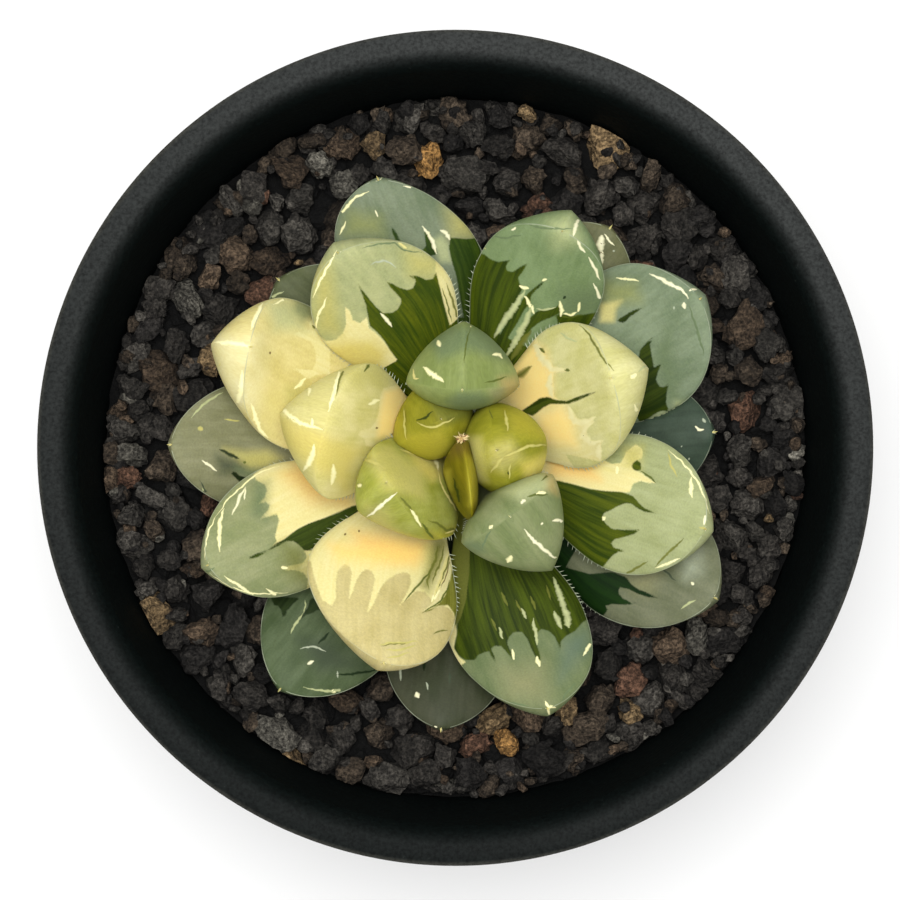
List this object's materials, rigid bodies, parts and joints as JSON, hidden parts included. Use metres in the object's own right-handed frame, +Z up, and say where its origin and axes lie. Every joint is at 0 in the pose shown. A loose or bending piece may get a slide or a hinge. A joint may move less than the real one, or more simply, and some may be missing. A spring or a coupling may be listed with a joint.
{
  "type": "potted haworthia",
  "caption": "Variegated haworthia rosette of plump window-tipped leaves in a round black nursery pot filled with dark gravel; a small potted succulent to stand on a table or shelf.",
  "frame": {"origin": "middle of the underside of the pot, on the surface that it stands on", "axes": "+Z up out of the pot, +X and +Y to the right and to the top of the picture, which looks straight down"},
  "size_m": [0.09, 0.09, 0.0872],
  "materials": {
    "pot": "satin",
    "soil": "matte",
    "stem": "matte",
    "leaf_heart": "satin",
    "leaf_inner": "satin",
    "leaf_middle": "satin",
    "leaf_lower": "satin",
    "leaf_lowest": "satin"
  },
  "bodies": {
    "root": {"pot": "pot", "soil": "soil", "stem_with_roots": "stem", "leaf_01": "leaf_heart", "leaf_02": "leaf_heart", "leaf_03": "leaf_heart", "leaf_04": "leaf_heart", "leaf_05": "leaf_inner", "leaf_06": "leaf_inner", "leaf_07": "leaf_inner", "leaf_08": "leaf_middle", "leaf_09": "leaf_middle", "leaf_10": "leaf_middle", "leaf_11": "leaf_middle", "leaf_12": "leaf_middle", "leaf_13": "leaf_middle", "leaf_14": "leaf_middle", "leaf_15": "leaf_middle", "leaf_16": "leaf_lower", "leaf_17": "leaf_lower", "leaf_18": "leaf_lower", "leaf_19": "leaf_lower", "leaf_20": "leaf_lower", "leaf_21": "leaf_lowest", "leaf_22": "leaf_lowest", "leaf_23": "leaf_lowest", "leaf_24": "leaf_lowest"}
  },
  "joints": []
}
